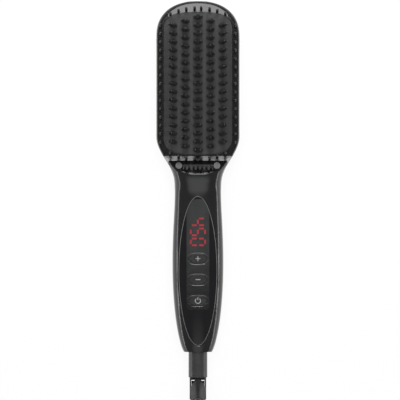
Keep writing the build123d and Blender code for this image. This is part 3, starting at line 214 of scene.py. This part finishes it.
def new_group(name, inputs):
    """A surface's node group with its input and output nodes. Inputs are (label, kind, value)."""
    group = bpy.data.node_groups.new(name, "ShaderNodeTree")
    for label, kind, value in inputs:
        socket = group.interface.new_socket(
            name=label, in_out="INPUT", socket_type="NodeSocket" + kind)
        socket.default_value = value
    for label, kind in (("Color", "Color"), ("Roughness", "Float"), ("Normal", "Vector")):
        group.interface.new_socket(name=label, in_out="OUTPUT", socket_type="NodeSocket" + kind)
    return group, group.nodes.new("NodeGroupInput"), group.nodes.new("NodeGroupOutput")


def grouped_material(name, group, color, roughness, values, **sockets):
    """A new material that takes its color, roughness and normal from a surface's node group."""
    material, tree, shader = new_material(name, color, roughness, **sockets)
    inputs = {"Color": (*color, 1), "Roughness": roughness, **values}
    surface = add_node(tree, "Group", inputs, node_tree=group).outputs
    tree.links.new(surface["Color"], shader.inputs["Base Color"])
    tree.links.new(surface["Roughness"], shader.inputs["Roughness"])
    tree.links.new(surface["Normal"], shader.inputs["Normal"])
    return material


moulded, given, made = new_group(
    "moulded_surface",
    [
        ("Color", "Color", (0.02, 0.02, 0.02, 1)),
        ("Color Spread", "Float", 0.15),
        ("Roughness", "Float", 0.3),
        ("Roughness Spread", "Float", 0.04),
        ("Grain Scale", "Float", 4000.0),
        ("Grain Depth", "Float", 0.1),
        ("Wave Depth", "Float", 0.02),
    ],
)
place = own_place(moulded)
smear = wandering(moulded, noise(moulded, place, SMEAR_SCALE, 5.0, SMEAR_ROUGHNESS), -1.0, 1.0)
drift = calculate(moulded, "MULTIPLY", smear, given.outputs["Roughness Spread"])
rough = calculate(moulded, "ADD", given.outputs["Roughness"], drift)
tint = wandering(moulded, noise(moulded, place, TINT_SCALE, 3.0), -1.0, 1.0)
tint = calculate(moulded, "MULTIPLY", tint, given.outputs["Color Spread"])
tint = calculate(moulded, "ADD", tint, 1.0)
shade = add_node(moulded, "HueSaturation", {"Color": given.outputs["Color"], "Value": tint})
grain = noise(moulded, place, given.outputs["Grain Scale"])
wave = noise(moulded, place, WAVE_SCALE, 1.0)
pimpled = bump(moulded, given.outputs["Grain Depth"], GRAIN_HEIGHT, grain)
waved = bump(moulded, given.outputs["Wave Depth"], WAVE_HEIGHT, wave, Normal=pimpled)
moulded.links.new(shade.outputs[0], made.inputs["Color"])
moulded.links.new(rough, made.inputs["Roughness"])
moulded.links.new(waved, made.inputs["Normal"])


def moulded_material(name, color, roughness, values, **sockets):
    """A plastic, rubber or glass with the moulded surface's smears, tint, grain and waves."""
    return grouped_material(name, moulded, color, roughness, values, **sockets)


def dress(material, *names):
    """Gives CAD nodes their material."""
    for name in names:
        nodes[name].material_slots[0].material = material


shell_gloss = moulded_material("shell_gloss", (0.009, 0.009, 0.010), 0.16, POLISHED, IOR=1.6)
dress(shell_gloss, "rear_cover", "front_cover")


# ---- swivel barrel and pivot pin ----
# The collar and fork that hold the cord boot are satin black plastic, turned smooth where the hand
# touches them, and lie in the rear cover's end wall. The pin through the fork is plain steel.

SATIN = {"Grain Scale": 5200.0, "Grain Depth": 0.35, "Wave Depth": 0.0}
SCRATCH_SCALE = 9000.0
SCRATCH_STRETCH = 0.06
SCRATCH_HEIGHT = 0.00002
STAIN_SCALE = 300.0

metal, given, made = new_group(
    "drawn_metal",
    [
        ("Color", "Color", (0.6, 0.6, 0.6, 1)),
        ("Roughness", "Float", 0.3),
        ("Scratch Depth", "Float", 0.2),
    ],
)
place = own_place(metal)
drawn = add_node(metal, "Mapping", {"Vector": place, "Scale": (1.0, SCRATCH_STRETCH, 1.0)})
scratches = noise(metal, drawn.outputs[0], SCRATCH_SCALE, 3.0)
dull = wandering(metal, noise(metal, place, STAIN_SCALE, 4.0), 0.85, 1.2)
rough = calculate(metal, "MULTIPLY", given.outputs["Roughness"], dull)
shade = add_node(metal, "HueSaturation", {"Color": given.outputs["Color"], "Value": dull})
scored = bump(metal, given.outputs["Scratch Depth"], SCRATCH_HEIGHT, scratches)
metal.links.new(shade.outputs[0], made.inputs["Color"])
metal.links.new(rough, made.inputs["Roughness"])
metal.links.new(scored, made.inputs["Normal"])


def metal_material(name, color, roughness, scratches=0.2):
    """A metal with drawing marks and faint stains."""
    values = {"Scratch Depth": scratches}
    return grouped_material(name, metal, color, roughness, values, Metallic=1.0)


dress(moulded_material("swivel_satin", (0.036, 0.036, 0.038), 0.3, SATIN), "swivel_barrel")
dress(metal_material("pin_steel", (0.58, 0.58, 0.59), 0.22), "pivot_pin")


# ---- contacts ----
# Brass springs in a block of natural plastic bear on two brass rings on the swivel's spigot, so the
# swivel turns without end and still carries the current.

EVEN = {"Grain Scale": 2500.0, "Grain Depth": 0.3, "Color Spread": 0.08, "Wave Depth": 0.0}

dress(moulded_material("block_natural", (0.46, 0.44, 0.40), 0.4, EVEN), "contact_block")
contact_brass = metal_material("contact_brass", (0.70, 0.50, 0.22), 0.25, 0.3)
dress(contact_brass, "contact_springs", "slip_rings")


# ---- cord boot ----
# The boot keeps the cord from kinking where it leaves the brush. It is moulded in one piece with
# its ribs, from a tough, matt, rubbery plastic, and folds on the steel pin.

RUBBERY = {"Grain Scale": 3000.0, "Grain Depth": 0.5, "Roughness Spread": 0.06, "Wave Depth": 0.0}

dress(moulded_material("boot_rubber", (0.024, 0.024, 0.025), 0.42, RUBBERY), "cord_boot")


# ---- ion module and board ----
# A potted blue module, and a green laminate board with its copper tracks, display block, switches
# and moulded power parts. Zinc-plated screws hold the board, the carrier and the covers.

CELL_CORE = 0.1            # shares of a cell within which one colour turns into the other
CELL_EDGE = 0.5
CELL_RELIEF = 0.3
TRACK_SCALE = 160.0
TRACK_RELIEF = 0.4
TRACK_HEIGHT = 0.00003


def blend(tree, amount, first, last, start=0.0, end=1.0):
    """A color that turns from the first to the last where the amount runs from start to end."""
    ramp = add_node(tree, "ValToRGB", {"Fac": amount})
    elements = ramp.color_ramp.elements
    elements[0].position, elements[1].position = start, end
    elements[0].color, elements[1].color = (*first, 1), (*last, 1)
    return ramp.outputs[0]


def flecked_material(name, color, fleck, scale, roughness):
    """A pressed or filled material: cells of one color scattered in another."""
    material, tree, shader = new_material(name, color, roughness)
    cells = add_node(tree, "TexVoronoi", {"Vector": own_place(tree), "Scale": scale})
    from_core = cells.outputs["Distance"]
    amount = spread(tree, from_core, CELL_CORE, CELL_EDGE)
    tree.links.new(blend(tree, amount, fleck, color), shader.inputs["Base Color"])
    tree.links.new(bump(tree, CELL_RELIEF, GRAIN_HEIGHT, from_core), shader.inputs["Normal"])
    return material


dress(moulded_material("module_potting", (0.03, 0.045, 0.17), 0.35, SATIN), "ion_generator")
dress(moulded_material("display_block", (0.50, 0.50, 0.48), 0.4, EVEN), "led_display")
dress(moulded_material("switch_body", (0.022, 0.022, 0.022), 0.4, SATIN), "tact_switches")
dress(flecked_material(
    "component_resin", (0.24, 0.11, 0.03), (0.30, 0.16, 0.06), 900.0, 0.4), "power_parts")
screw_zinc = metal_material("screw_zinc", (0.62, 0.62, 0.60), 0.28)
dress(screw_zinc, "board_screws", "carrier_screws", "handle_screws")

board_laminate, tree, shader = new_material("board_laminate", (0.02, 0.16, 0.055), 0.35)
quarter_turn = (0, 0, math.radians(90))
turned = add_node(tree, "Mapping", {"Vector": own_place(tree), "Rotation": quarter_turn})
tracks = add_node(
    tree, "TexBrick",
    {
        "Vector": turned.outputs[0], "Scale": TRACK_SCALE,
        "Mortar Size": 0.06, "Brick Width": 1.6, "Row Height": 0.3,
        "Color1": (0.015, 0.13, 0.045, 1), "Color2": (0.02, 0.17, 0.06, 1),
        "Mortar": (0.04, 0.27, 0.11, 1),
    },
).outputs
tree.links.new(tracks["Color"], shader.inputs["Base Color"])
tree.links.new(bump(tree, TRACK_RELIEF, TRACK_HEIGHT, tracks["Fac"]), shader.inputs["Normal"])
dress(board_laminate, "main_board")


# ---- leads ----
# Cores in extruded silicone sleeves: black ones run from the board to the heater, white ones to the
# ion ports, and brown ones from the contacts to the board.

dress(moulded_material("lead_black", (0.016, 0.016, 0.017), 0.4, EVEN), "heater_leads")
dress(moulded_material("lead_white", (0.72, 0.72, 0.70), 0.4, EVEN), "ion_leads")
dress(moulded_material("lead_brown", (0.17, 0.075, 0.035), 0.4, EVEN), "mains_leads")


# ---- heater stack and head carrier ----
# Two white ceramic strips lie under the plate, held by a sheet of spring steel and a sheet of mica
# on a glass-filled carrier. A glass bead and a metal can sense the heat between them.

dress(flecked_material(
    "strip_ceramic", (0.80, 0.79, 0.75), (0.62, 0.60, 0.55), 1800.0, 0.5), "heater_strips")
dress(metal_material("clamp_steel", (0.56, 0.56, 0.57), 0.32, 0.4), "heater_clamp")
dress(flecked_material(
    "mica_sheet", (0.50, 0.43, 0.32), (0.66, 0.60, 0.46), 500.0, 0.4), "insulation_sheet")
dress(flecked_material(
    "carrier_filled", (0.09, 0.08, 0.07), (0.16, 0.15, 0.13), 2400.0, 0.6), "plate_carrier")
dress(moulded_material(
    "bead_glass", (0.45, 0.22, 0.10), 0.08, POLISHED, Transmission_Weight=0.6), "thermistor")
dress(metal_material("fuse_can", (0.68, 0.68, 0.65), 0.25), "thermal_fuse")


# ---- heating plate and gasket ----
# Cast aluminium under a dark ceramic coating with a fine sparkle. A silicone gasket closes the gap
# to the frame.

COATING_COLOR = (0.034, 0.034, 0.035)
FLECK_COLOR = (0.075, 0.075, 0.077)
FLECK_SCALE = 2600.0
FLECK_CORE = 0.05
FLECK_EDGE = 0.32
PEEL_SCALE = 1500.0
PEEL_RELIEF = 0.25
PEEL_HEIGHT = 0.00006

plate_coating, tree, shader = new_material("plate_coating", COATING_COLOR, 0.42)
place = own_place(tree)
flecks = add_node(tree, "TexVoronoi", {"Vector": place, "Scale": FLECK_SCALE}).outputs["Distance"]
sparkle = blend(tree, flecks, FLECK_COLOR, COATING_COLOR, FLECK_CORE, FLECK_EDGE)
tree.links.new(sparkle, shader.inputs["Base Color"])
peel = bump(tree, PEEL_RELIEF, PEEL_HEIGHT, noise(tree, place, PEEL_SCALE))
tree.links.new(peel, shader.inputs["Normal"])
dress(plate_coating, "heating_plate")
dress(moulded_material("gasket_silicone", (0.035, 0.035, 0.036), 0.55, RUBBERY), "plate_gasket")


# ---- tooth caps and fins ----
# Each cap is moulded from heat-proof plastic in one pointed-oval piece that ends in two round
# prongs, over a bare aluminium fin of the plate.

dress(moulded_material("cap_satin", (0.005, 0.005, 0.0055), 0.2, SATIN), "tooth_caps")
dress(metal_material("fin_aluminium", (0.60, 0.60, 0.61), 0.38, 0.3), "tooth_fins")


# ---- guard frame and guard bristles ----
# The frame round the heating plate is moulded with a fine satin grain, and stays cool enough to
# touch. The guard bristles are black nylon, round at the tip, pressed into it.

dress(moulded_material("frame_satin", (0.006, 0.006, 0.0065), 0.22, SATIN), "guard_frame")
dress(moulded_material("bristle_nylon", (0.010, 0.010, 0.011), 0.45, SATIN), "guard_bristles")


# ---- vent grille and ion ports ----
# The grille is satin black plastic behind the slope. The two ports are mid-grey inserts, each with
# a fine emitter needle in a shallow recess.

BLOTCHY = {**SATIN, "Color Spread": 0.25}

dress(moulded_material("grille_satin", (0.08, 0.08, 0.081), 0.35, SATIN), "vent_grille")
dress(moulded_material("port_grey", (0.24, 0.24, 0.24), 0.45, BLOTCHY), "ion_emitters")


# ---- control panel ----
# A piano-black oval, moulded and let into the front cover. Its rounded rim is left satin, and a
# painted highlight colours it a little lighter than the rest.

low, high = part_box("control_panel")
PANEL_MIDDLE = [(low[axis] + high[axis]) / 2 for axis in range(3)]
PANEL_REACH = (high[0] - PANEL_MIDDLE[0], high[1] - PANEL_MIDDLE[1], 1)
RIM_WIDTH = 0.00045
RIM_FADE = 0.00009
# painted highlight: the lighter colour given to the panel's rim
RIM_HIGHLIGHT_COLOR = (0.13, 0.13, 0.13, 1)
RIM_ROUGHNESS = 0.4

panel_gloss = moulded_material("panel_gloss", (0.006, 0.006, 0.007), 0.06, POLISHED)
tree = panel_gloss.node_tree
shader = tree.nodes["Principled BSDF"]

# The oval's equation, divided by how steeply it grows, gives twice the distance from the edge.
from_middle = calculate_vector(tree, "SUBTRACT", own_place(tree), PANEL_MIDDLE)
flat = calculate_vector(tree, "MULTIPLY", from_middle, (1, 1, 0))
scaled = calculate_vector(tree, "DIVIDE", flat, PANEL_REACH)
square = calculate_vector(tree, "DOT_PRODUCT", scaled, scaled, "Value")
slant = calculate_vector(tree, "DIVIDE", scaled, PANEL_REACH)
steepness = calculate_vector(tree, "LENGTH", slant, output="Value")
inward = calculate(tree, "DIVIDE", calculate(tree, "SUBTRACT", 1.0, square), steepness)
# painted highlight: the rim mask blends in a lighter colour where the rounded edge would catch
# light, and also makes the rim rougher
rim = spread(tree, inward, 2 * RIM_WIDTH, 2 * (RIM_WIDTH + RIM_FADE), 1.0, 0.0)

# A Mix node takes colors at its sockets 6 and 7, and numbers at 2 and 3.
gloss_color = shader.inputs["Base Color"].links[0].from_socket
panel_color_with_highlight = add_node(tree, "Mix", {0: rim, 6: gloss_color, 7: RIM_HIGHLIGHT_COLOR}, data_type="RGBA")
tree.links.new(panel_color_with_highlight.outputs[2], shader.inputs["Base Color"])
gloss_rough = shader.inputs["Roughness"].links[0].from_socket
panel_rough = add_node(tree, "Mix", {0: rim, 2: gloss_rough, 3: RIM_ROUGHNESS})
tree.links.new(panel_rough.outputs[0], shader.inputs["Roughness"])
dress(panel_gloss, "control_panel")


# ---- display window ----
# The strip down the panel's middle is smoked plastic, a little lighter and duller than the panel,
# with painted shade that darkens it towards its lower end. It is moulded with a hollow round each
# button.

WINDOW_COLOR = (0.026, 0.027, 0.027)
# painted shade: the darker colour the window is blended to at its lower end
WINDOW_SHADED = (0.010, 0.010, 0.010)
SHADE_START = -0.125        # along the brush
SHADE_END = -0.172

window_smoked = moulded_material("window_smoked", WINDOW_COLOR, 0.22, {**SATIN, "Grain Depth": 0.1})
tree = window_smoked.node_tree
along = add_node(tree, "SeparateXYZ", {0: own_place(tree)}).outputs["Y"]
# painted shade: the window's colour is blended darker along the brush towards its lower end
painted_shade = spread(tree, along, SHADE_START, SHADE_END)
surface = next(node for node in tree.nodes if node.type == "GROUP")
tree.links.new(blend(tree, painted_shade, WINDOW_COLOR, WINDOW_SHADED), surface.inputs["Color"])
dress(window_smoked, "display_window")


# ---- lit digits ----
# Red bars behind the smoked window, fed by light guides in the display block. Each bar glows a
# little unevenly, as the light guide's moulding does.

GUIDE_SCALE = 700.0
GUIDE_COLOR = (0.07, 0.004, 0.006)
LIT_COLOR = (0.26, 0.011, 0.024, 1)

digit_red, tree, shader = new_material("digit_red", GUIDE_COLOR, 0.3)
level = wandering(tree, noise(tree, own_place(tree), GUIDE_SCALE), 0.8, 1.1)
shader.inputs["Emission Color"].default_value = LIT_COLOR
tree.links.new(level, shader.inputs["Emission Strength"])
dress(digit_red, "digit_segments")


# ---- buttons and their marks ----
# The caps are moulded in dark grey plastic and slide in the window's hollows. Their marks, a plus,
# a minus and a power sign, are printed on in light grey.

MARK_LIFT = 0.00001
MARK_DEPTH = 0.00006
STROKE = 0.00062
PLUS_REACH = 0.0019
POWER_RADIUS = 0.0020
POWER_GAP = 40             # degrees each side of the bar
POWER_STEPS = 32

button_grey = moulded_material(
    "button_grey", (0.022, 0.022, 0.023), 0.26, {**SATIN, "Grain Depth": 0.15})
dress(button_grey, "button_plus", "button_minus", "button_power")
mark_grey = moulded_material("mark_grey", (0.26, 0.26, 0.26), 0.4, BLOTCHY)


def cap_top(name):
    """The middle of a button's upper face."""
    low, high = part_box(name)
    return Vector(((low[0] + high[0]) / 2, (low[1] + high[1]) / 2, high[2]))


def printed_mark(name, bm, button):
    """Makes a flat shape, drawn about the origin, a thin print on a button."""
    bmesh.ops.solidify(bm, geom=bm.faces[:], thickness=MARK_DEPTH)
    bmesh.ops.recalc_face_normals(bm, faces=bm.faces[:])
    foot = min(vert.co.z for vert in bm.verts)
    bmesh.ops.translate(bm, verts=bm.verts, vec=cap_top(button) + Vector((0, 0, MARK_LIFT - foot)))
    mesh = bpy.data.meshes.new(name)
    bm.to_mesh(mesh)
    bm.free()
    mark = bpy.data.objects.new(name, mesh)
    mark.data.materials.append(mark_grey)
    bpy.context.scene.collection.objects.link(mark)
    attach(mark, button)


def bar(bm, reach_x, reach_y, middle=(0, 0, 0)):
    """Adds a flat bar that reaches this far each way from its middle."""
    placed = Matrix.Translation(middle) @ Matrix.Diagonal((reach_x, reach_y, 1, 1))
    bmesh.ops.create_grid(bm, x_segments=1, y_segments=1, size=1, matrix=placed)


# The plus is a grid of nine faces without its corners.
bm = bmesh.new()
bmesh.ops.create_grid(bm, x_segments=3, y_segments=3, size=1)
corners = [face for face in bm.faces if min(abs(v) for v in face.calc_center_median().xy) > 0.5]
bmesh.ops.delete(bm, geom=corners, context="FACES")
for vert in bm.verts:
    for axis in range(2):
        reach = PLUS_REACH if abs(vert.co[axis]) > 0.5 else STROKE / 2
        vert.co[axis] = math.copysign(reach, vert.co[axis])
printed_mark("mark_plus", bm, "button_plus")

bm = bmesh.new()
bar(bm, PLUS_REACH, STROKE / 2)
printed_mark("mark_minus", bm, "button_minus")

# The power sign is a strip bent round into an open ring, with a bar in its gap.
bm = bmesh.new()
bmesh.ops.create_grid(bm, x_segments=POWER_STEPS, y_segments=1, size=1)
for vert in bm.verts:
    turn = math.radians(270 + vert.co.x * (180 - POWER_GAP))
    reach = POWER_RADIUS + vert.co.y * STROKE / 2
    vert.co = Vector((reach * math.cos(turn), reach * math.sin(turn), 0))
bar(bm, STROKE / 2, POWER_RADIUS / 2, (0, 0.75 * POWER_RADIUS, 0))
printed_mark("mark_power", bm, "button_power")
